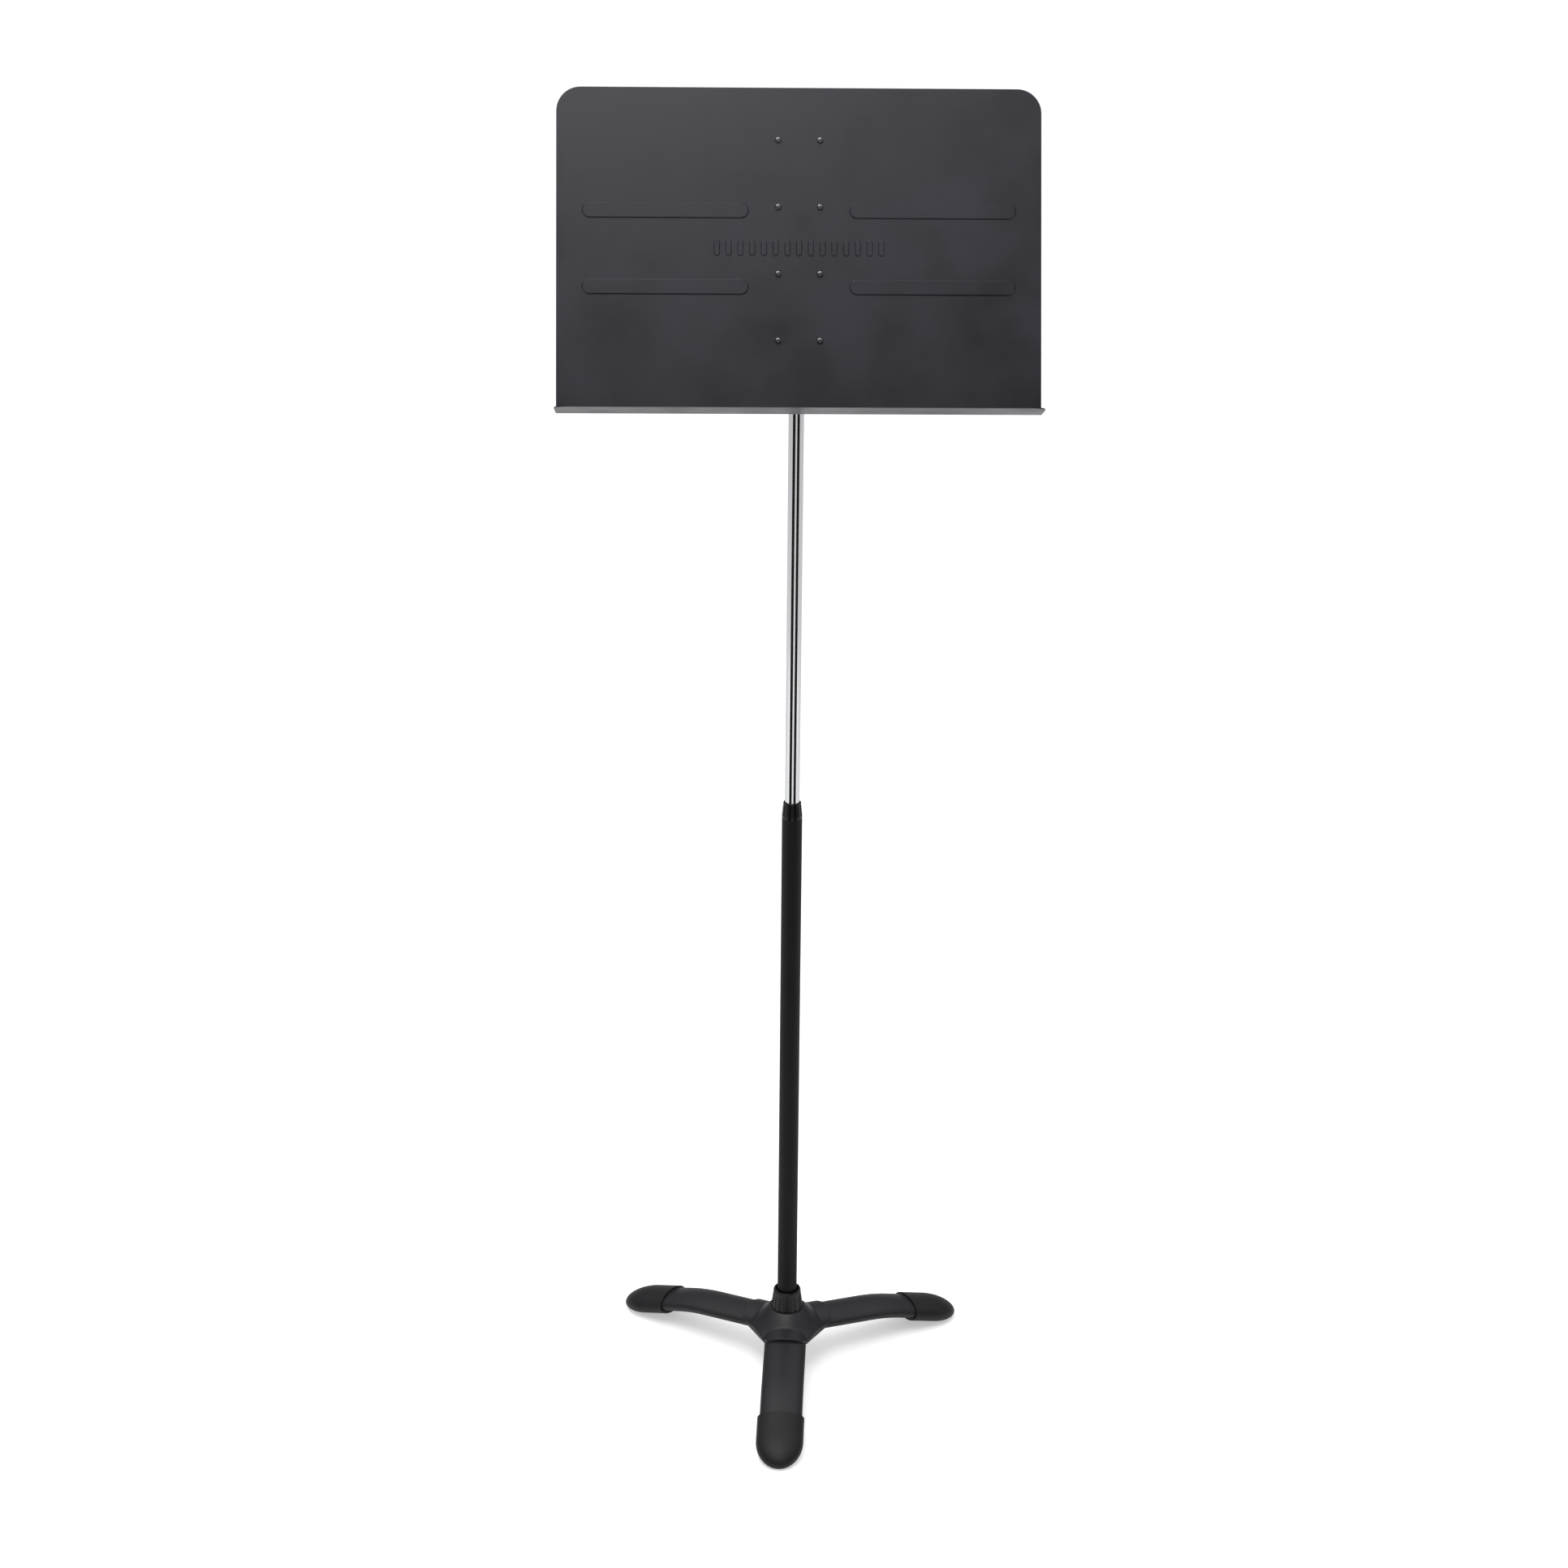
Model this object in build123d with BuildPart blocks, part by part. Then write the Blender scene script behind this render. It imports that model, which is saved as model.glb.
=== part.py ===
"""Orchestral music stand: a folded steel desk on a sliding mast over a three-legged base.

Frame: origin on the floor under the column, +Z up, the player stands on the -Y side and the
desk runs along X. All sizes are in millimetres.
"""

from build123d import *
from math import cos, radians, sin, tan
import os

# ---------------------------------------------------------------- driving dimensions

# clearances
running_fit = 0.06          # radial, a shaft that turns or slides in its bore
seat_fit = 0.03             # radial, a piece that is pushed home and stays
body_gap = 0.3              # between two pieces that move past each other

# desk: one sheet, folded along its lower edge
desk_width = 508.0
desk_height = 340.5
desk_sheet = 1.2
desk_tilt = 21.2            # lean back from upright
desk_corner = 25.4
desk_bend = 1.2             # inside radius of the fold
ledge_depth = 51.4
ledge_corner = 15.0
bar_length = 174.8          # pressed stiffening bars
bar_width = 16.6
bar_rise = 1.2
bar_centre_x = 140.0
bar_drop_upper = 128.8      # below the top edge
bar_drop_lower = 208.7
rib_count = 15              # row of short pressed ribs between the bars
rib_width = 6.4
rib_length = 17.0
rib_pitch = 12.3
rib_rise = 0.8
rib_drop = 167.8

# rivets that hold the two cheeks to the desk
rivet_rows = 4
rivet_row_pitch = 70.0
rivet_column_pitch = 43.8
rivet_first_row = 75.6      # above the fold
rivet_shank = 2.0           # radius
rivet_head = 3.4            # radius
rivet_head_height = 1.9
rivet_tail = 3.0            # radius
rivet_tail_height = 1.2

# tilt joint
pivot_above_fold = 176.0    # along the desk
pivot_behind_desk = 42.6    # square to the desk
pivot_height = 1367.5
cheek_sheet = 2.5
cheek_inner = 10.8          # half the space between the cheeks
cheek_end_margin = 15.4     # cheek beyond its outermost rivet
cheek_depth = 14.0
cheek_flange = 19.5
cheek_ear = 15.5            # radius round the pivot
cheek_ear_blend = 12.0
bolt_radius = 4.0
bolt_head = 6.6             # radius
bolt_head_height = 4.2
nut_across_flats = 13.0
nut_height = 6.5
spring_washer_radius = 8.0
spring_washer_thickness = 1.6
friction_disc_radius = 12.5
friction_disc_thickness = 1.0
head_radius = 13.5          # tilt head round the pivot
head_socket_radius = 12.4
head_socket_bottom = 1315.5
head_socket_height = 27.0
head_tube_depth = 32.0
pin_radius = 1.5

# mast: chromed tube that slides and turns in the column
mast_radius = 8.5
mast_wall = 1.2
mast_overlap = 84.2         # length left inside the column at full height
guide_length = 12.0
guide_spigot_length = 24.0

# column: painted tube
liner_wall = 1.63
column_wall = 1.5
column_bottom = 40.5
column_top = 722.0
collar_height = 19.5
collar_top_wall = 1.64
collar_rim_round = 0.8
collar_spigot = 12.0
collar_flutes = 12
collar_flute_turn = 4.0     # degrees
collar_rim = 2.8            # plain rim over the flutes
collar_flute_radius = 1.3
collar_flute_depth = 0.8
collar_flute_foot = 3.4     # plain band under the flutes
liner_gap = 0.5             # between the collar's spigot and the liner
spring_band_height = 12.0
spring_band_thickness = 0.55
spring_band_drop = 33.5     # middle of the spring below the column's top

# base casting
base_turn = -3.5            # the base is turned a little against the desk
leg_count = 3
hub_bottom = 34.5
hub_radius = 54.5           # round which the socket mouths are trimmed
hub_web_flat = 44.0         # flats between the sockets, from the axis
hub_skirt = 47.0            # height of the outer edge; the foot below it is narrower
hub_foot_radius = 30.5
hub_foot_draft = 20.0       # degrees
hub_top = 75.0
hub_top_radius = 21.5
hub_dome_radius = 56.0      # the dome before it is trimmed
hub_rim = (hub_dome_radius, 47.6)
hub_flank = ((40.0, 57.8), (30.0, 67.6))    # from the axis, height
socket_half_width = 26.2
socket_half_height = 14.7
sleeve_wall = 3.22
sleeve_neck_wall = 2.62
sleeve_neck_height = 17.3
sleeve_slots = 4
sleeve_slot_width = 1.6
cover_radius = 21.0
cover_sheet = 1.8
cover_depth = 4.4
cover_screw_radius = 1.75
cover_screw_head = 3.6      # radius
cover_screw_head_height = 1.4
cover_screw_grip = 5.0

# legs: oval tubes, bent once
leg_half_width = 25.3
leg_half_height = 10.6
leg_wall = 1.6
leg_start = 22.0            # distance of the leg's root from the axis
leg_height_at_hub = 46.9    # centre of the leg at the socket's nominal mouth
leg_nominal_mouth = 50.0
leg_root_slope = 6.2
leg_foot_slope = 17.0
leg_bend_start = 110.0
leg_bend_radius = 230.0
leg_end_run = 52.0          # straight after the bend
leg_screw_radius = 2.0
leg_screw_reach = 26.5      # distance of the screw from the axis
leg_screw_head = 3.4        # radius
leg_screw_head_height = 2.2
leg_screw_length = 8.0

# rubber boots
boot_wall = 2.6
boot_start = 18.5           # mouth, measured along the leg from the end of the bend
boot_straight = 34.0
boot_nose = 38.0
boot_drop = 0.5             # the boot's axis lies this far under the leg's
boot_half_height = 13.8

# clamp nut on the base
nut_top = 100.0
nut_foot_wall = 4.8
nut_rim_wall = 1.7
nut_mouth_lip = 0.7         # how far the mouth closes in from the bore
nut_throat_gap = 0.65       # round the column
nut_throat_top = 2.2        # below the rim
nut_throat_height = 0.4
nut_rim_round = 1.6
nut_flutes = 18
nut_flute_radius = 1.7
nut_flute_depth = 0.85
nut_flute_height = 18.5
ring_height = 3.8
ring_wall = 2.42
ring_gap = 3.0

# ---------------------------------------------------------------- derived places

tilt = radians(desk_tilt)
desk_normal = Vector(0, -cos(tilt), sin(tilt))
desk_up = Vector(0, sin(tilt), cos(tilt))
pivot = Vector(0, 0, pivot_height)
fold_line = pivot + desk_normal * pivot_behind_desk - desk_up * pivot_above_fold
# x along the fold, y up the desk, z out of its front face
desk_plane = Plane(origin=fold_line, x_dir=(1, 0, 0), z_dir=desk_normal)
# across the desk: x out of its front face, y up the desk
desk_side = Plane(origin=fold_line, x_dir=desk_normal, z_dir=-Vector(1, 0, 0))

root_slope = radians(leg_root_slope)
foot_slope = radians(leg_foot_slope)
leg_root_height = leg_height_at_hub + (leg_nominal_mouth - leg_start) * tan(root_slope)
bend_start_height = leg_height_at_hub - (leg_bend_start - leg_nominal_mouth) * tan(root_slope)
bend_end_reach = leg_bend_start + leg_bend_radius * (sin(foot_slope) - sin(root_slope))
bend_end_height = bend_start_height - leg_bend_radius * (cos(root_slope) - cos(foot_slope))

mast_bottom = column_top - mast_overlap
spring_band_mid = column_top - spring_band_drop
grip_radius = mast_radius + running_fit
slide_radius = grip_radius + liner_wall
column_bore = slide_radius + running_fit
column_radius = column_bore + column_wall
collar_top_radius = grip_radius + collar_top_wall
collar_top = column_top + collar_height
mast_bore = mast_radius - mast_wall
mast_top = head_socket_bottom + head_tube_depth
liner_top = column_top - collar_spigot - liner_gap
liner_bottom = mast_bottom + 0.2
nut_bottom = hub_top + body_gap
sleeve_top = hub_top + sleeve_neck_height
sleeve_bore = column_radius + seat_fit
sleeve_radius = sleeve_bore + sleeve_wall
sleeve_neck_radius = sleeve_bore + sleeve_neck_wall
ring_radius = sleeve_bore + ring_wall
nut_bore = sleeve_neck_radius + body_gap
nut_foot_radius = nut_bore + nut_foot_wall
nut_rim_radius = nut_bore + nut_rim_wall
nut_mouth_radius = nut_bore - nut_mouth_lip
nut_throat_radius = column_radius + nut_throat_gap
nut_shoulder = nut_top - nut_throat_top - nut_throat_height
boot_half_width = leg_half_width + boot_wall
disc_inner = cheek_inner - body_gap - friction_disc_thickness
cheek_outer = cheek_inner + cheek_sheet
washer_outer = cheek_outer + spring_washer_thickness
leg_angles = {
    "front": base_turn - 90.0,
    "right": base_turn + 30.0,
    "left": base_turn + 150.0,
}

parts = {}


def finish(name, part):
    """Label a finished piece and keep it for export."""
    part.label = name
    parts[name] = part


def leg_frame(angle):
    """Upright plane along one leg: x runs outwards from the column axis, y runs up."""
    turn = radians(angle)
    return Plane(origin=(0, 0, 0), x_dir=(cos(turn), sin(turn), 0), z_dir=(sin(turn), -cos(turn), 0))


def leg_section(angle, reach, height, slope):
    """Plane square to a leg, its z along the leg and its x level across it."""
    frame = leg_frame(angle)
    along = frame.x_dir * cos(slope) - Vector(0, 0, 1) * sin(slope)
    return Plane(origin=frame.from_local_coords((reach, height)), x_dir=frame.z_dir, z_dir=along)


# ---------------------------------------------------------------- base: hub casting

with BuildPart() as hub:
    with BuildSketch(Plane.XZ):
        with BuildLine():
            Polyline((hub_top_radius, hub_top), (0, hub_top), (0, hub_bottom), (hub_dome_radius, hub_bottom), hub_rim)
            Spline(hub_rim, *hub_flank, (hub_top_radius, hub_top))
        make_face()
    revolve(axis=Axis.Z)
    for angle in leg_angles.values():
        with BuildSketch(leg_section(angle, 0, leg_root_height + leg_start * tan(root_slope), root_slope)):
            Ellipse(socket_half_width, socket_half_height)
        extrude(amount=hub_radius + socket_half_height)
    with BuildSketch(Plane.XY.offset(hub_skirt)):
        Circle(hub_radius)
    extrude(amount=hub_top, mode=Mode.INTERSECT)
    for angle in leg_angles.values():
        away = leg_frame(angle + 180).x_dir
        split(bisect_by=Plane(origin=away * hub_web_flat, z_dir=away), keep=Keep.BOTTOM)
    with BuildSketch(Plane.XY.offset(hub_bottom)):
        Circle(hub_foot_radius)
    extrude(amount=hub_skirt - hub_bottom, taper=-hub_foot_draft)
    for angle in leg_angles.values():
        with BuildSketch(leg_section(angle, leg_start, leg_root_height, root_slope)):
            Ellipse(leg_half_width + seat_fit, leg_half_height + seat_fit)
        extrude(amount=hub_radius, mode=Mode.SUBTRACT)
    with BuildSketch(Plane.XY.offset(column_bottom)):
        Circle(sleeve_radius + seat_fit)
    extrude(amount=hub_top, mode=Mode.SUBTRACT)
    with BuildSketch(Plane.XY.offset(hub_bottom)):
        with PolarLocations(leg_screw_reach, leg_count, base_turn - 90):
            Circle(leg_screw_radius + seat_fit)
        Circle(cover_screw_radius + seat_fit)
    extrude(amount=leg_screw_length, mode=Mode.SUBTRACT)
finish("hub", hub.part)

with BuildPart() as hub_cover:
    with BuildSketch(Plane.XY.offset(hub_bottom - cover_depth)):
        Circle(cover_radius)
    extrude(amount=cover_depth)
    fillet(hub_cover.faces().sort_by(Axis.Z)[0].edges(), radius=cover_sheet)
    with BuildSketch(Plane.XY.offset(hub_bottom - cover_depth + cover_sheet)):
        Circle(cover_radius - cover_sheet)
        Circle(2 * cover_screw_head, mode=Mode.SUBTRACT)
    extrude(amount=cover_depth, mode=Mode.SUBTRACT)
    with BuildSketch(Plane.XY.offset(hub_bottom)):
        Circle(cover_screw_radius + seat_fit)
    extrude(amount=-2 * cover_depth, mode=Mode.SUBTRACT)
finish("hub_cover", hub_cover.part)

with BuildPart() as cover_screw:
    with BuildSketch(Plane.XY.offset(hub_bottom - cover_depth)):
        Circle(cover_screw_radius)
    extrude(amount=cover_depth + cover_screw_grip)
    with BuildSketch(Plane.XY.offset(hub_bottom - cover_depth)):
        Circle(cover_screw_head)
    extrude(amount=-cover_screw_head_height)
    fillet(cover_screw.faces().sort_by(Axis.Z)[0].edges(), radius=cover_screw_head_height / 2)
finish("cover_screw", cover_screw.part)

with BuildPart() as leg_screws:
    with BuildSketch(Plane.XY.offset(hub_bottom)):
        with PolarLocations(leg_screw_reach, leg_count, base_turn - 90):
            Circle(leg_screw_radius)
    extrude(amount=leg_screw_length)
    with BuildSketch(Plane.XY.offset(hub_bottom)):
        with PolarLocations(leg_screw_reach, leg_count, base_turn - 90):
            Circle(leg_screw_head)
    extrude(amount=-leg_screw_head_height)
    fillet(leg_screws.faces().group_by(Axis.Z)[0].edges(), radius=leg_screw_head_height / 2)
finish("leg_screws", leg_screws.part)

# ---------------------------------------------------------------- base: legs and boots


def make_leg(angle):
    """Oval tube that leaves the hub at the root slope and is bent down to the foot slope."""
    frame = leg_frame(angle)
    with BuildPart() as leg:
        with BuildLine(frame) as centre:
            root = Line((leg_start, leg_root_height), (leg_bend_start, bend_start_height))
            bend = TangentArc(root @ 1, frame.from_local_coords((bend_end_reach, bend_end_height)), tangent=root % 1)
            Line(bend @ 1, bend @ 1 + (bend % 1) * leg_end_run)
        with BuildSketch(leg_section(angle, leg_start, leg_root_height, root_slope)):
            Ellipse(leg_half_width, leg_half_height)
            Ellipse(leg_half_width - leg_wall, leg_half_height - leg_wall, mode=Mode.SUBTRACT)
        sweep(path=centre.line)
        with BuildSketch(Plane.XY.offset(hub_bottom)):
            with PolarLocations(leg_screw_reach, leg_count, base_turn - 90):
                Circle(leg_screw_radius + seat_fit)
        extrude(amount=leg_screw_length, mode=Mode.SUBTRACT)
    return leg.part


def make_boot(angle):
    """Bullet-nosed rubber boot, pushed over the leg's end and flat where it meets the floor."""
    reach = bend_end_reach + boot_start * cos(foot_slope)
    height = bend_end_height - boot_start * sin(foot_slope)
    mouth = leg_section(angle, reach, height, foot_slope)
    axis = leg_section(angle, reach - boot_drop * sin(foot_slope), height - boot_drop * cos(foot_slope), foot_slope)
    half_ball = Sphere(1, arc_size1=0, align=(Align.CENTER, Align.CENTER, Align.MIN))
    nose = scale(half_ball, by=(boot_half_width, boot_half_height, boot_nose))
    nose = axis.offset(boot_straight).location * nose
    with BuildPart() as boot:
        with BuildSketch(axis):
            Ellipse(boot_half_width, boot_half_height)
        extrude(amount=boot_straight)
        add(nose)
        with BuildSketch(mouth):
            Ellipse(leg_half_width + seat_fit, leg_half_height + seat_fit)
        extrude(amount=leg_end_run - boot_start + seat_fit, mode=Mode.SUBTRACT)
        split(bisect_by=Plane.XY, keep=Keep.TOP)
    return boot.part


for side, side_angle in leg_angles.items():
    finish("leg_" + side, make_leg(side_angle))
    finish("boot_" + side, make_boot(side_angle))

# ---------------------------------------------------------------- base: column clamp

with BuildPart() as column_sleeve:
    with BuildSketch(Plane.XY.offset(column_bottom)):
        Circle(sleeve_radius)
        Circle(sleeve_bore, mode=Mode.SUBTRACT)
    extrude(amount=hub_top - column_bottom)
    with BuildSketch(Plane.XY.offset(hub_top)):
        Circle(sleeve_neck_radius)
        Circle(sleeve_bore, mode=Mode.SUBTRACT)
        with PolarLocations(sleeve_neck_radius, sleeve_slots):
            Rectangle(sleeve_neck_radius, sleeve_slot_width, mode=Mode.SUBTRACT)
    extrude(amount=sleeve_neck_height)
finish("column_sleeve", column_sleeve.part)

with BuildPart() as clamp_ring:
    with BuildSketch(Plane.XY.offset(sleeve_top)):
        Circle(ring_radius)
        Circle(sleeve_bore, mode=Mode.SUBTRACT)
        with Locations((ring_radius, 0)):
            Rectangle(2 * (ring_radius - column_radius), ring_gap, mode=Mode.SUBTRACT)
    extrude(amount=ring_height)
finish("clamp_ring", clamp_ring.part)

with BuildPart() as base_nut:
    with BuildSketch(Plane.XZ):
        with BuildLine():
            Polyline(
                (nut_bore, nut_bottom),
                (nut_foot_radius, nut_bottom),
                (nut_rim_radius, nut_top),
                (nut_mouth_radius, nut_top),
                (nut_throat_radius, nut_top - nut_throat_top),
                (nut_throat_radius, nut_shoulder),
                (nut_bore, nut_shoulder),
                close=True,
            )
        make_face()
    revolve(axis=Axis.Z)
    rim = base_nut.edges().filter_by(GeomType.CIRCLE).group_by(Axis.Z)[-1].sort_by(SortBy.RADIUS)[-1]
    fillet(rim, radius=nut_rim_round)
    lean = (nut_foot_radius - nut_rim_radius) / (nut_top - nut_bottom)
    for index in range(nut_flutes):
        turn = radians(360 * index / nut_flutes)
        outwards = Vector(cos(turn), sin(turn), 0)
        start = outwards * (nut_foot_radius + nut_flute_radius - nut_flute_depth) + Vector(0, 0, nut_bottom - 1)
        with BuildSketch(Plane(origin=start, z_dir=Vector(0, 0, 1) - outwards * lean)):
            Circle(nut_flute_radius)
        extrude(amount=nut_flute_height + 1, mode=Mode.SUBTRACT)
finish("base_nut", base_nut.part)

# ---------------------------------------------------------------- column and its clutch

with BuildPart() as lower_tube:
    with BuildSketch(Plane.XY.offset(column_bottom)):
        Circle(column_radius)
        Circle(column_bore, mode=Mode.SUBTRACT)
    extrude(amount=column_top - column_bottom)
finish("lower_tube", lower_tube.part)

with BuildPart() as clutch_collar:
    with BuildSketch(Plane.XZ):
        with BuildLine():
            Polyline(
                (grip_radius, column_top - collar_spigot),
                (column_bore - seat_fit, column_top - collar_spigot),
                (column_bore - seat_fit, column_top),
                (column_radius, column_top),
                (column_radius, column_top + collar_flute_foot),
                (collar_top_radius, collar_top),
                (grip_radius, collar_top),
                close=True,
            )
        make_face()
    revolve(axis=Axis.Z)
    rim = clutch_collar.edges().filter_by(GeomType.CIRCLE).group_by(Axis.Z)[-1].sort_by(SortBy.RADIUS)[-1]
    fillet(rim, radius=collar_rim_round)
    for index in range(collar_flutes):
        turn = radians(360 * index / collar_flutes + collar_flute_turn)
        outwards = Vector(cos(turn), sin(turn), 0)
        lean = (column_radius - collar_top_radius) / (collar_height - collar_flute_foot)
        foot_reach = column_radius + collar_flute_radius - collar_flute_depth
        foot = outwards * foot_reach + Vector(0, 0, column_top + collar_flute_foot + collar_flute_radius)
        with BuildSketch(Plane(origin=foot, z_dir=Vector(0, 0, 1) - outwards * lean)):
            Circle(collar_flute_radius)
        extrude(amount=collar_height - collar_flute_foot - collar_flute_radius - collar_rim, mode=Mode.SUBTRACT)
        with Locations(foot):
            Sphere(collar_flute_radius, mode=Mode.SUBTRACT)
finish("clutch_collar", clutch_collar.part)

with BuildPart() as clutch_liner:
    with BuildSketch(Plane.XY.offset(liner_bottom)):
        Circle(slide_radius)
        Circle(grip_radius, mode=Mode.SUBTRACT)
        with Locations((slide_radius, 0)):
            Rectangle(2 * (slide_radius - grip_radius) + 1, ring_gap, mode=Mode.SUBTRACT)
    extrude(amount=liner_top - liner_bottom)
    with BuildSketch(Plane.XY.offset(spring_band_mid - spring_band_height / 2 - seat_fit)):
        Circle(column_radius)
        Circle(slide_radius - spring_band_thickness - seat_fit, mode=Mode.SUBTRACT)
    extrude(amount=spring_band_height + 2 * seat_fit, mode=Mode.SUBTRACT)
finish("clutch_liner", clutch_liner.part)

with BuildPart() as clutch_spring:
    with BuildSketch(Plane.XY.offset(spring_band_mid - spring_band_height / 2)):
        Circle(slide_radius)
        Circle(slide_radius - spring_band_thickness, mode=Mode.SUBTRACT)
        with Locations((-slide_radius, 0)):
            Rectangle(slide_radius, ring_gap, mode=Mode.SUBTRACT)
    extrude(amount=spring_band_height)
finish("clutch_spring", clutch_spring.part)

# ---------------------------------------------------------------- mast

with BuildPart() as guide_bush:
    with BuildSketch(Plane.XY.offset(mast_bottom - body_gap)):
        Circle(slide_radius)
    extrude(amount=-guide_length)
    chamfer(guide_bush.faces().sort_by(Axis.Z)[0].edges(), length=1.5)
    with BuildSketch(Plane.XY.offset(mast_bottom - body_gap)):
        Circle(mast_bore - running_fit)
    extrude(amount=guide_spigot_length)
finish("guide_bush", guide_bush.part)

with BuildPart() as upper_tube:
    with BuildSketch(Plane.XY.offset(mast_bottom)):
        Circle(mast_radius)
        Circle(mast_bore, mode=Mode.SUBTRACT)
    extrude(amount=mast_top - mast_bottom)
    with BuildSketch(Plane.YZ.offset(-2 * mast_radius)):
        with Locations((0, head_socket_bottom + head_socket_height / 2)):
            Circle(pin_radius + seat_fit)
    extrude(amount=4 * mast_radius, mode=Mode.SUBTRACT)
finish("upper_tube", upper_tube.part)

with BuildPart() as tilt_head:
    with BuildSketch(Plane.XY.offset(head_socket_bottom)):
        Circle(head_socket_radius)
    extrude(amount=head_socket_height)
    fillet(tilt_head.edges().filter_by(GeomType.CIRCLE), radius=1.0)
    with BuildSketch(Plane.YZ):
        with Locations((0, pivot_height)):
            Circle(head_radius)
        with Locations((0, (head_socket_bottom + head_socket_height / 2 + pivot_height) / 2)):
            Rectangle(2 * disc_inner, pivot_height - head_socket_bottom - head_socket_height / 2)
    extrude(amount=disc_inner, both=True)
    with BuildSketch(Plane.XY.offset(head_socket_bottom)):
        Circle(mast_radius + seat_fit)
    extrude(amount=head_tube_depth + seat_fit, mode=Mode.SUBTRACT)
    with BuildSketch(Plane.YZ.offset(-2 * head_radius)):
        with Locations((0, pivot_height)):
            Circle(bolt_radius + running_fit)
        with Locations((0, head_socket_bottom + head_socket_height / 2)):
            Circle(pin_radius + seat_fit)
    extrude(amount=4 * head_radius, mode=Mode.SUBTRACT)
finish("tilt_head", tilt_head.part)

with BuildPart() as head_pin:
    with BuildSketch(Plane.YZ.offset(-head_socket_radius)):
        with Locations((0, head_socket_bottom + head_socket_height / 2)):
            Circle(pin_radius)
    extrude(amount=2 * head_socket_radius)
finish("head_pin", head_pin.part)

with BuildPart() as friction_discs:
    for face in (-disc_inner - friction_disc_thickness, disc_inner):
        with BuildSketch(Plane.YZ.offset(face)):
            with Locations((0, pivot_height)):
                Circle(friction_disc_radius)
                Circle(bolt_radius + running_fit, mode=Mode.SUBTRACT)
        extrude(amount=friction_disc_thickness)
finish("friction_discs", friction_discs.part)

# ---------------------------------------------------------------- desk


def capsule(plane, across, drop, length, width, turn):
    """Outline of one pressed capsule on the desk, its place given from the top edge."""
    with BuildSketch(plane) as outline:
        with Locations((across, desk_height - drop)):
            SlotOverall(length, width, rotation=turn)
    return outline.sketch


# each pressing: across, drop, length, width, rise, turn
pressings = [
    (across, drop, bar_length, bar_width, bar_rise, 0)
    for drop in (bar_drop_upper, bar_drop_lower)
    for across in (-bar_centre_x, bar_centre_x)
]
pressings += [
    ((index - (rib_count - 1) / 2) * rib_pitch, rib_drop, rib_length, rib_width, rib_rise, 90)
    for index in range(rib_count)
]
# a wall at 45 degrees keeps the sheet's thickness when the back outline is this much smaller
press_inset = 2 * desk_sheet * tan(radians(22.5))

with BuildPart() as desk_plate:
    with BuildSketch(desk_side.offset(-desk_width / 2)):
        with BuildLine():
            Polyline(
                (-desk_sheet, desk_height),
                (-desk_sheet, -desk_sheet),
                (ledge_depth, -desk_sheet),
                (ledge_depth, 0),
                (0, 0),
                (0, desk_height),
                close=True,
            )
        make_face()
    extrude(amount=desk_width)
    folds = desk_plate.edges().filter_by(Axis.X)
    outer_fold = folds.sort_by(lambda edge: (edge.center() - fold_line).dot(desk_normal + desk_up))[0]
    fillet(outer_fold, radius=desk_bend + desk_sheet)
    inner_fold = desk_plate.edges().filter_by(Axis.X).sort_by(lambda edge: (edge.center() - fold_line).length)[0]
    fillet(inner_fold, radius=desk_bend)
    thickness_edges = desk_plate.edges().filter_by(Axis(fold_line, desk_normal))
    fillet(thickness_edges.sort_by(Axis(fold_line, desk_up))[-2:], radius=desk_corner)
    lip_edges = desk_plate.edges().filter_by(Axis(fold_line, desk_up))
    fillet(lip_edges.sort_by(Axis(fold_line, desk_normal))[-2:], radius=ledge_corner)
    for across, drop, length, width, rise, turn in pressings:
        extrude(capsule(desk_plane, across, drop, length, width, turn), amount=rise, taper=45)
        back = capsule(desk_plane.offset(-desk_sheet), across, drop, length - press_inset, width - press_inset, turn)
        extrude(back, amount=rise, taper=45, mode=Mode.SUBTRACT)
    rivet_mid = rivet_first_row + rivet_row_pitch * (rivet_rows - 1) / 2
    with BuildSketch(desk_plane.offset(-desk_sheet)):
        with Locations((0, rivet_mid)):
            with GridLocations(rivet_column_pitch, rivet_row_pitch, 2, rivet_rows):
                Circle(rivet_shank + seat_fit)
    extrude(amount=2 * desk_sheet, mode=Mode.SUBTRACT)
finish("desk_plate", desk_plate.part)

rivet_tail_face = desk_plane.offset(-desk_sheet - cheek_sheet)
with BuildPart() as desk_rivets:
    with BuildSketch(rivet_tail_face):
        with Locations((0, rivet_mid)):
            with GridLocations(rivet_column_pitch, rivet_row_pitch, 2, rivet_rows):
                Circle(rivet_shank)
    extrude(amount=desk_sheet + cheek_sheet)
    with BuildSketch(desk_plane):
        with Locations((0, rivet_mid)):
            with GridLocations(rivet_column_pitch, rivet_row_pitch, 2, rivet_rows):
                Circle(rivet_head)
    extrude(amount=rivet_head_height)
    fillet(desk_rivets.faces().group_by(Axis(fold_line, desk_normal))[-1].edges(), radius=rivet_head_height * 0.9)
    with BuildSketch(rivet_tail_face):
        with Locations((0, rivet_mid)):
            with GridLocations(rivet_column_pitch, rivet_row_pitch, 2, rivet_rows):
                Circle(rivet_tail)
    extrude(amount=-rivet_tail_height)
finish("desk_rivets", desk_rivets.part)

cheek_low = rivet_first_row - cheek_end_margin
cheek_high = rivet_first_row + rivet_row_pitch * (rivet_rows - 1) + cheek_end_margin


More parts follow.
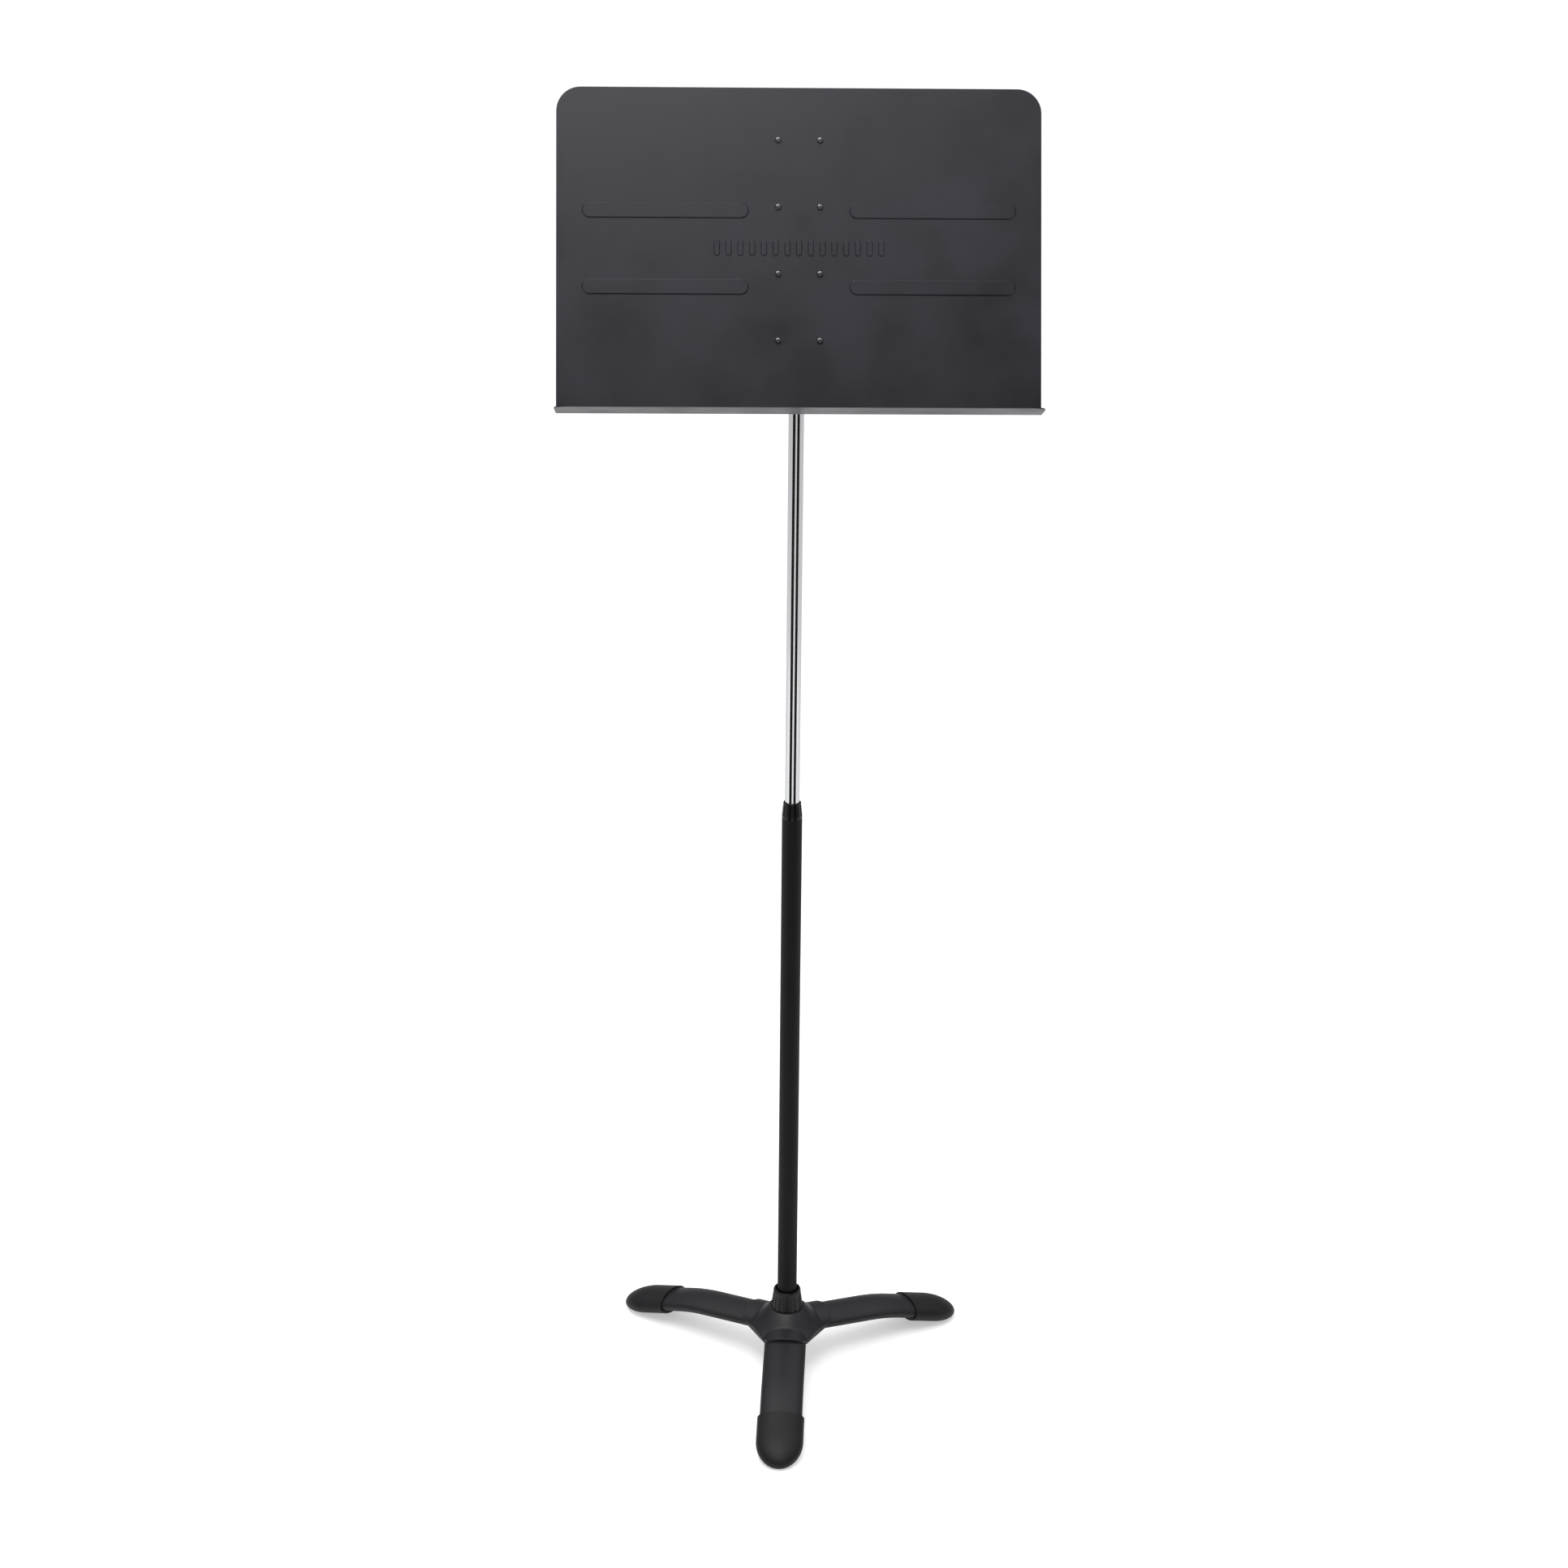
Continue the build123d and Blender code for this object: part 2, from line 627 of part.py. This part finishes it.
def make_cheek(side):
    """Pressed angle: a flange riveted to the desk and a web whose ear carries the pivot bolt."""
    inner = cheek_inner if side > 0 else -cheek_outer
    ear_base = -desk_sheet - cheek_depth
    with BuildPart() as cheek:
        with BuildSketch(Plane(origin=fold_line, x_dir=desk_normal, z_dir=(-1, 0, 0)).offset(-inner - cheek_sheet)):
            with Locations((-desk_sheet - cheek_depth / 2, (cheek_low + cheek_high) / 2)):
                Rectangle(cheek_depth, cheek_high - cheek_low)
            with Locations(((ear_base - pivot_behind_desk) / 2, pivot_above_fold)):
                Rectangle(pivot_behind_desk + ear_base, 2 * cheek_ear)
            with Locations((-pivot_behind_desk, pivot_above_fold)):
                Circle(cheek_ear)
                Circle(bolt_radius + seat_fit, mode=Mode.SUBTRACT)
        extrude(amount=cheek_sheet)
        blend_edges = cheek.edges().filter_by(Axis.X).filter_by(GeomType.LINE)
        near_ear = blend_edges.sort_by(lambda edge: (
            (edge.center() - fold_line - desk_normal * ear_base - desk_up * pivot_above_fold).length))[:2]
        fillet(near_ear, radius=cheek_ear_blend)
        with BuildSketch(desk_plane.offset(-desk_sheet)):
            with Locations((side * (cheek_inner + cheek_flange / 2), (cheek_low + cheek_high) / 2)):
                RectangleRounded(cheek_flange, cheek_high - cheek_low, 1.0)
            with Locations((side * rivet_column_pitch / 2, rivet_mid)):
                with GridLocations(0, rivet_row_pitch, 1, rivet_rows):
                    Circle(rivet_shank + seat_fit, mode=Mode.SUBTRACT)
        extrude(amount=-cheek_sheet)
    return cheek.part


finish("cheek_right", make_cheek(1))
finish("cheek_left", make_cheek(-1))

with BuildPart() as pivot_bolt:
    with BuildSketch(Plane.YZ.offset(-washer_outer)):
        with Locations((0, pivot_height)):
            Circle(bolt_radius)
    extrude(amount=2 * washer_outer + nut_height + 2)
    with BuildSketch(Plane.YZ.offset(-washer_outer)):
        with Locations((0, pivot_height)):
            Circle(bolt_head)
    extrude(amount=-bolt_head_height)
    fillet(pivot_bolt.faces().sort_by(Axis.X)[0].edges(), radius=1.2)
    with BuildSketch(Plane.YZ.offset(-washer_outer - bolt_head_height)):
        with Locations((0, pivot_height)):
            RegularPolygon(bolt_radius * 0.75, 6)
    extrude(amount=bolt_head_height * 0.6, mode=Mode.SUBTRACT)
finish("pivot_bolt", pivot_bolt.part)

with BuildPart() as lock_nut:
    with BuildSketch(Plane.YZ.offset(washer_outer)):
        with Locations((0, pivot_height)):
            RegularPolygon(nut_across_flats / 2, 6, major_radius=False)
            Circle(bolt_radius + seat_fit, mode=Mode.SUBTRACT)
    extrude(amount=nut_height)
finish("lock_nut", lock_nut.part)

with BuildPart() as spring_washers:
    for face in (-washer_outer, cheek_outer):
        with BuildSketch(Plane.YZ.offset(face)):
            with Locations((0, pivot_height)):
                Circle(spring_washer_radius)
                Circle(bolt_radius + seat_fit, mode=Mode.SUBTRACT)
        extrude(amount=spring_washer_thickness)
finish("spring_washers", spring_washers.part)

# ---------------------------------------------------------------- export

os.makedirs("parts", exist_ok=True)
for name, part in parts.items():
    export_step(part, "parts/" + name + ".step")
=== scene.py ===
"""A music stand: a folded steel desk on a sliding chromed mast, over a three-legged base."""

import math

import bpy
from mathutils import Matrix, Vector


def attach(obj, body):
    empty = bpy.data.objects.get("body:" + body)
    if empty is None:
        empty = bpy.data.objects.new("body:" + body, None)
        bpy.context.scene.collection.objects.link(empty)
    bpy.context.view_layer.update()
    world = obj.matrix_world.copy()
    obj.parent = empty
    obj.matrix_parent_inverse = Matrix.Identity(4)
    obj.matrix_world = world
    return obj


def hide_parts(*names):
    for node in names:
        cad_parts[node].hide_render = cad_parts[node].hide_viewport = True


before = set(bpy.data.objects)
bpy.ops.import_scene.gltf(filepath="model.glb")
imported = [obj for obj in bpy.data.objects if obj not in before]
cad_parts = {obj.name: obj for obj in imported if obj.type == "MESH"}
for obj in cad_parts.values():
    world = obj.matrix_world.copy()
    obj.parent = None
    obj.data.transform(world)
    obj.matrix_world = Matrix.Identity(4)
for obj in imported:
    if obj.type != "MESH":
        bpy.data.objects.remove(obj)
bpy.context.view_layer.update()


# ---- Desk ----
# One steel sheet, 1.2 mm thick, folded at the foot into a ledge and pressed with stiffening bars.
# It is powder coated: a satin, slightly mottled charcoal skin with a fine orange-peel surface that
# breaks up the light.
def linear(hex_colour):
    channels = [int(hex_colour[i : i + 2], 16) / 255 for i in (1, 3, 5)]
    return [c / 12.92 if c <= 0.04045 else ((c + 0.055) / 1.055) ** 2.4 for c in channels] + [1.0]


def new_material(name, colour, roughness, metallic=0.0, ior=1.5):
    material = bpy.data.materials.new(name)
    material.use_nodes = True
    shader = material.node_tree.nodes["Principled BSDF"]
    shader.inputs["Base Color"].default_value = linear(colour)
    shader.inputs["Roughness"].default_value = roughness
    shader.inputs["Metallic"].default_value = metallic
    shader.inputs["IOR"].default_value = ior
    return material, material.node_tree, shader


def add_node(tree, kind, settings=None, values=None, links=None):
    node = tree.nodes.new(kind)
    for name, value in (settings or {}).items():
        setattr(node, name, value)
    for socket, value in (values or {}).items():
        node.inputs[socket].default_value = value
    for socket, source in (links or {}).items():
        tree.links.new(source, node.inputs[socket])
    return node


def dress(material, *nodes):
    for name in nodes:
        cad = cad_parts[name]
        for slot in cad.material_slots:
            slot.material = material


powder, tree, shader = new_material("powder_coat_charcoal", "#1b1820", 0.38, ior=1.46)
place = add_node(tree, "ShaderNodeTexCoord")
# Orange peel about 1.6 mm across, 0.03 mm high.
peel = add_node(
    tree,
    "ShaderNodeTexNoise",
    values={"Scale": 620.0, "Detail": 2.0},
    links={"Vector": place.outputs["Object"]},
)
# Uneven film thickness, in clouds of 60 to 90 mm.
cloud = add_node(
    tree,
    "ShaderNodeTexNoise",
    values={"Scale": 13.0, "Detail": 3.0, "Roughness": 0.55},
    links={"Vector": place.outputs["Object"]},
)
film = add_node(tree, "ShaderNodeValToRGB", links={"Fac": cloud.outputs["Fac"]})
thin, thick = film.color_ramp.elements
thin.position, thin.color = 0.30, linear("#17151c")
thick.position, thick.color = 0.72, linear("#211e28")
bump = add_node(
    tree,
    "ShaderNodeBump",
    values={"Strength": 0.16, "Distance": 0.00003},
    links={"Height": peel.outputs["Fac"]},
)
gloss = add_node(
    tree,
    "ShaderNodeMapRange",
    values={"From Min": 0.3, "From Max": 0.7, "To Min": 0.31, "To Max": 0.45},
    links={"Value": cloud.outputs["Fac"]},
)
tree.links.new(film.outputs["Color"], shader.inputs["Base Color"])
tree.links.new(gloss.outputs["Result"], shader.inputs["Roughness"])
tree.links.new(bump.outputs["Normal"], shader.inputs["Normal"])
dress(powder, "desk_plate", "cheek_left", "cheek_right")


# ---- Rivets ----
# Eight small domed steel rivets hold the two cheeks to the desk's back. They are enamelled glossier
# than the sheet, so each dome shows a bright spot. The index is above real enamel's, so that it shows.
rivet_paint, tree, shader = new_material("rivet_enamel_charcoal", "#1a181e", 0.13, ior=2.1)
place = add_node(tree, "ShaderNodeTexCoord")
speck = add_node(
    tree,
    "ShaderNodeTexNoise",
    values={"Scale": 900.0, "Detail": 1.0},
    links={"Vector": place.outputs["Object"]},
)
bump = add_node(
    tree,
    "ShaderNodeBump",
    values={"Strength": 0.10, "Distance": 0.00002},
    links={"Height": speck.outputs["Fac"]},
)
tree.links.new(bump.outputs["Normal"], shader.inputs["Normal"])
dress(rivet_paint, "desk_rivets")


# ---- Mast ----
# A steel tube, 17 mm across, nickel-chrome plated and buffed. The plating mirrors the room in upright
# bands, and the buffing leaves hair lines round the tube that are finer than a tenth of a millimetre.
chrome, tree, shader = new_material("chrome_plate", "#dcddde", 0.03, metallic=1.0)
place = add_node(tree, "ShaderNodeTexCoord")
# Hair lines are drawn 0.5 mm apart, coarser than real, so that they show at all.
stretch = add_node(
    tree,
    "ShaderNodeMapping",
    values={"Scale": (40.0, 40.0, 2000.0)},
    links={"Vector": place.outputs["Object"]},
)
hair = add_node(
    tree,
    "ShaderNodeTexNoise",
    values={"Scale": 1.0, "Detail": 2.0},
    links={"Vector": stretch.outputs["Vector"]},
)
gloss = add_node(
    tree,
    "ShaderNodeMapRange",
    values={"To Min": 0.01, "To Max": 0.04},
    links={"Value": hair.outputs["Fac"]},
)
tree.links.new(gloss.outputs["Result"], shader.inputs["Roughness"])
dress(chrome, "upper_tube")


# ---- Column ----
# Welded round steel tube, 23.5 mm across. Its powder coat is a matte black, finer and duller than
# the desk's, so it takes only a weak, wide sheen.
tube_coat, tree, shader = new_material("powder_coat_black", "#0c0c0d", 0.56, ior=1.30)
place = add_node(tree, "ShaderNodeTexCoord")
# Orange peel about 1.2 mm across.
peel = add_node(
    tree,
    "ShaderNodeTexNoise",
    values={"Scale": 830.0, "Detail": 2.0},
    links={"Vector": place.outputs["Object"]},
)
cloud = add_node(
    tree,
    "ShaderNodeTexNoise",
    values={"Scale": 22.0, "Detail": 3.0},
    links={"Vector": place.outputs["Object"]},
)
film = add_node(tree, "ShaderNodeValToRGB", links={"Fac": cloud.outputs["Fac"]})
thin, thick = film.color_ramp.elements
thin.position, thin.color = 0.30, linear("#0a0a0b")
thick.position, thick.color = 0.72, linear("#0f0f10")
bump = add_node(
    tree,
    "ShaderNodeBump",
    values={"Strength": 0.14, "Distance": 0.00003},
    links={"Height": peel.outputs["Fac"]},
)
tree.links.new(film.outputs["Color"], shader.inputs["Base Color"])
tree.links.new(bump.outputs["Normal"], shader.inputs["Normal"])
dress(tube_coat, "lower_tube")


# ---- Hub, legs and tilt head ----
# The hub and the head are die-cast aluminium, and the legs are flat-oval steel tube rolled to a
# slight bend. All are coated satin charcoal together, smooth with a faint grain under the film.
satin_coat, tree, shader = new_material("satin_coat_charcoal", "#1a191c", 0.44, ior=1.44)
place = add_node(tree, "ShaderNodeTexCoord")
# Blasted grain about 1 mm across.
grain = add_node(
    tree,
    "ShaderNodeTexNoise",
    values={"Scale": 1000.0, "Detail": 3.0},
    links={"Vector": place.outputs["Object"]},
)
bump = add_node(
    tree,
    "ShaderNodeBump",
    values={"Strength": 0.20, "Distance": 0.00004},
    links={"Height": grain.outputs["Fac"]},
)
tree.links.new(bump.outputs["Normal"], shader.inputs["Normal"])
dress(satin_coat, "hub", "tilt_head", "leg_front", "leg_left", "leg_right")


# ---- Hub casting ----
# Die-cast aluminium with a rounded skin, so the dome runs into the sockets without a hard edge. Only
# the skin is smoothed, but remeshing rounds the bores and rims too, by a fraction of a millimetre.
def ramp(value, start, end):
    return min(max((value - start) / (end - start), 0.0), 1.0)


def evaluated(piece):
    bpy.context.view_layer.update()
    return bpy.data.meshes.new_from_object(piece.evaluated_get(bpy.context.evaluated_depsgraph_get()))


cad_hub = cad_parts["hub"]
skin = cad_hub.data.copy()
skin.transform(cad_hub.matrix_world)
casting = bpy.data.objects.new("hub_casting", skin)
bpy.context.collection.objects.link(casting)
even = casting.modifiers.new("even", "REMESH")
even.mode = "VOXEL"
even.voxel_size = 0.0007
casting.data = evaluated(casting)
casting.modifiers.clear()
# Smoothing fades out over 1.5 to 2.5 mm toward the skirt, the ring at the top and the socket mouths.
skirt = 0.0470
ring = 0.0225
crown = max(vertex.co.z for vertex in skin.vertices)
mouth = max(math.hypot(vertex.co.x, vertex.co.y) for vertex in skin.vertices)
faces_up, faces_out = 0.1, 0.35
eased = casting.vertex_groups.new(name="skin")
for vertex in casting.data.vertices:
    reach = math.hypot(vertex.co.x, vertex.co.y)
    outward = (vertex.normal.x * vertex.co.x + vertex.normal.y * vertex.co.y) / max(reach, 0.001)
    if vertex.normal.z > faces_up or outward > faces_out:
        weight = (
            ramp(vertex.co.z, skirt + 0.0005, skirt + 0.003)
            * ramp(vertex.co.z, crown - 0.0005, crown - 0.002)
            * ramp(reach, ring, ring + 0.002)
            * ramp(reach, mouth - 0.001, mouth - 0.003)
        )
        eased.add([vertex.index], weight, "REPLACE")
ease = casting.modifiers.new("ease", "SMOOTH")
ease.factor = 0.5
ease.iterations = 40
ease.vertex_group = "skin"
casting.data = evaluated(casting)
casting.modifiers.clear()
for polygon in casting.data.polygons:
    polygon.use_smooth = True
casting.data.materials.clear()
casting.data.materials.append(satin_coat)
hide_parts("hub")
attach(casting, "base")


# ---- Clutch collar, base nut, ring and cover ----
# Injection-moulded glass-filled nylon, fluted for the fingers. It is a deeper black than the paint,
# with a low sheen and the fine even grain of the mould. The ring inside the nut is the same.
nylon, tree, shader = new_material("glass_filled_nylon_black", "#050506", 0.30, ior=1.41)
place = add_node(tree, "ShaderNodeTexCoord")
# Spark texture is 0.1 to 0.2 mm in the mould; it is drawn at 0.5 mm, faintly, so that it shows.
spark = add_node(
    tree,
    "ShaderNodeTexNoise",
    values={"Scale": 2000.0, "Detail": 2.0},
    links={"Vector": place.outputs["Object"]},
)
bump = add_node(
    tree,
    "ShaderNodeBump",
    values={"Strength": 0.07, "Distance": 0.00002},
    links={"Height": spark.outputs["Fac"]},
)
tree.links.new(bump.outputs["Normal"], shader.inputs["Normal"])
dress(nylon, "clutch_collar", "base_nut", "hub_cover", "clamp_ring")


# ---- Boots ----
# Moulded black rubber, pushed over the ends of the legs. Rubber is dull and softly lit, with a fine
# grain from the mould and a bloom that leaves it a little greyer in patches.
rubber, tree, shader = new_material("moulded_rubber_black", "#111113", 0.52, ior=1.40)
place = add_node(tree, "ShaderNodeTexCoord")
bloom = add_node(
    tree,
    "ShaderNodeTexNoise",
    values={"Scale": 45.0, "Detail": 4.0},
    links={"Vector": place.outputs["Object"]},
)
shade = add_node(tree, "ShaderNodeValToRGB", links={"Fac": bloom.outputs["Fac"]})
plain, bloomed = shade.color_ramp.elements
plain.position, plain.color = 0.30, linear("#0f0f11")
bloomed.position, bloomed.color = 0.75, linear("#161618")
# Mould grain about 1.4 mm across.
grain = add_node(
    tree,
    "ShaderNodeTexNoise",
    values={"Scale": 700.0, "Detail": 3.0},
    links={"Vector": place.outputs["Object"]},
)
bump = add_node(
    tree,
    "ShaderNodeBump",
    values={"Strength": 0.60, "Distance": 0.00009},
    links={"Height": grain.outputs["Fac"]},
)
tree.links.new(shade.outputs["Color"], shader.inputs["Base Color"])
tree.links.new(bump.outputs["Normal"], shader.inputs["Normal"])
dress(rubber, "boot_front", "boot_left", "boot_right")


# ---- Bushes, liner and discs ----
# Natural nylon, turned or moulded, left its own cream colour. It is slightly waxy and lets a little
# light into its edges.
cream, tree, shader = new_material("natural_nylon", "#d8d2bf", 0.42, ior=1.53)
shader.inputs["Subsurface Weight"].default_value = 0.12
shader.inputs["Subsurface Radius"].default_value = (0.002, 0.0016, 0.001)
place = add_node(tree, "ShaderNodeTexCoord")
wax = add_node(
    tree,
    "ShaderNodeTexNoise",
    values={"Scale": 400.0, "Detail": 2.0},
    links={"Vector": place.outputs["Object"]},
)
bump = add_node(
    tree,
    "ShaderNodeBump",
    values={"Strength": 0.10, "Distance": 0.00003},
    links={"Height": wax.outputs["Fac"]},
)
tree.links.new(bump.outputs["Normal"], shader.inputs["Normal"])
dress(cream, "clutch_liner", "guide_bush", "friction_discs")


# ---- Bolt, nut, washers, screws, pin, sleeve and spring ----
# Zinc-plated steel hardware. The plating is a bluish bright grey with cloudy patches where the bath
# left it thicker, and it is smoother than bare steel.
zinc, tree, shader = new_material("zinc_plated_steel", "#b4b7bb", 0.30, metallic=1.0)
place = add_node(tree, "ShaderNodeTexCoord")
spangle = add_node(
    tree,
    "ShaderNodeTexNoise",
    values={"Scale": 260.0, "Detail": 3.0},
    links={"Vector": place.outputs["Object"]},
)
gloss = add_node(
    tree,
    "ShaderNodeMapRange",
    values={"To Min": 0.22, "To Max": 0.42},
    links={"Value": spangle.outputs["Fac"]},
)
tree.links.new(gloss.outputs["Result"], shader.inputs["Roughness"])
dress(
    zinc,
    "pivot_bolt",
    "lock_nut",
    "spring_washers",
    "cover_screw",
    "leg_screws",
    "head_pin",
    "column_sleeve",
    "clutch_spring",
)


# ---- Room ----
# A pale floor that runs off to a white horizon, a large soft box above, a small one over the desk
# and a weaker one on each side. Two black cards in front show in the chromed mast as dark stripes.
floor_mesh = bpy.data.meshes.new("floor")
floor_size = 30.0
floor_drop = -0.0002
floor_mesh.from_pydata(
    [(x * floor_size, y * floor_size, floor_drop) for x, y in ((-1, -1), (1, -1), (1, 1), (-1, 1))],
    [],
    [(0, 1, 2, 3)],
)
floor = bpy.data.objects.new("floor", floor_mesh)
bpy.context.collection.objects.link(floor)
paper, tree, shader = new_material("studio_paper", "#f6f6f6", 0.9)
# The paper far behind the stand falls off in the light, so it is lifted to white where it is seen.
eye = add_node(tree, "ShaderNodeLightPath")
lift = add_node(
    tree,
    "ShaderNodeMapRange",
    values={"To Min": 0.02, "To Max": 0.42},
    links={"Value": eye.outputs["Is Camera Ray"]},
)
shader.inputs["Emission Color"].default_value = (1.0, 1.0, 1.0, 1.0)
tree.links.new(lift.outputs["Result"], shader.inputs["Emission Strength"])
floor_mesh.materials.append(paper)

world = bpy.data.worlds.new("studio")
bpy.context.scene.world = world
world.use_nodes = True
sky = world.node_tree
white = sky.nodes["Background"]
white.inputs["Color"].default_value = (1.0, 1.0, 1.0, 1.0)
white.inputs["Strength"].default_value = 1.0
# The room that lights the stand is dim at eye level and bright overhead, as under a bank of soft boxes.
facing = add_node(sky, "ShaderNodeTexCoord")
axes = add_node(sky, "ShaderNodeSeparateXYZ", links={"Vector": facing.outputs["Generated"]})
height = add_node(sky, "ShaderNodeValToRGB", links={"Fac": axes.outputs["Z"]})
dim, bright = height.color_ramp.elements
dim.position, dim.color = 0.44, (0.19, 0.19, 0.20, 1.0)
bright.position, bright.color = 0.80, (1.0, 1.0, 1.02, 1.0)
room = add_node(sky, "ShaderNodeBackground", links={"Color": height.outputs["Color"]})
ray = add_node(sky, "ShaderNodeLightPath")
seen = add_node(
    sky,
    "ShaderNodeMixShader",
    links={0: ray.outputs["Is Camera Ray"], 1: room.outputs["Background"], 2: white.outputs["Background"]},
)
sky.links.new(seen.outputs["Shader"], sky.nodes["World Output"].inputs["Surface"])


def soft_box(name, place, aim, width, height, power):
    light = bpy.data.lights.new(name, "AREA")
    light.shape = "RECTANGLE"
    light.size, light.size_y = width, height
    light.energy = power
    lamp = bpy.data.objects.new(name, light)
    lamp.location = place
    lamp.rotation_euler = (Vector(aim) - Vector(place)).to_track_quat("-Z", "Y").to_euler()
    bpy.context.collection.objects.link(lamp)
    return lamp


soft_box("key_box", (-0.5, -0.5, 3.6), aim=(0.0, 0.0, 0.3), width=2.4, height=2.0, power=46.0)
# It skims the top of the desk and leaves the ledge darker.
soft_box("desk_box", (-0.45, -2.0, 3.6), aim=(-0.1, 0.0, 1.45), width=1.3, height=0.6, power=17.0)
side_boxes = (
    soft_box("left_box", (-2.4, -1.0, 1.4), aim=(0.0, 0.0, 0.9), width=1.0, height=2.2, power=10.0),
    soft_box("right_box", (2.4, -1.0, 1.4), aim=(0.0, 0.0, 0.9), width=1.0, height=2.2, power=8.0),
)
# The mast would mirror their ends as a hard break.
for lamp in side_boxes:
    lamp.visible_glossy = False


def black_card(name, middle, width):
    y, low, high = -0.8, 0.0, 1.5
    left, right = middle - width / 2, middle + width / 2
    mesh = bpy.data.meshes.new(name)
    mesh.from_pydata(
        [(left, y, low), (right, y, low), (right, y, high), (left, y, high)],
        [],
        [(0, 1, 2, 3)],
    )
    mesh.materials.append(card_black)
    card = bpy.data.objects.new(name, mesh)
    bpy.context.collection.objects.link(card)
    card.visible_camera = False
    card.visible_shadow = False
    card.visible_diffuse = False
    return card


card_black = new_material("black_card", "#050505", 0.9)[0]
black_card("card_left", middle=-0.59, width=0.89)
black_card("card_right", middle=0.67, width=0.92)


# ---- Camera ----
# It stands in front of the stand and a little to the left, above the desk, looking down at it.
camera_place = (-0.0795, -2.9218, 1.8919)
focal_length = 63.04
pitch, turn, roll = math.radians(21.12), math.radians(1.37), math.radians(0.54)
forward = Vector((math.sin(turn) * math.cos(pitch), math.cos(turn) * math.cos(pitch), -math.sin(pitch)))
level_right = Vector((math.cos(turn), -math.sin(turn), 0.0))
level_up = level_right.cross(forward)
right = level_right * math.cos(roll) + level_up * math.sin(roll)
up = level_up * math.cos(roll) - level_right * math.sin(roll)
lens = bpy.data.cameras.new("studio_camera")
lens.sensor_width = 36.0
lens.lens = focal_length
lens.clip_start, lens.clip_end = 0.05, 100.0
camera = bpy.data.objects.new("studio_camera", lens)
bpy.context.collection.objects.link(camera)
looking = Matrix((right, up, -forward)).transposed().to_4x4()
camera.matrix_world = Matrix.Translation(camera_place) @ looking
bpy.context.scene.camera = camera
bpy.context.scene.view_settings.view_transform = "Standard"
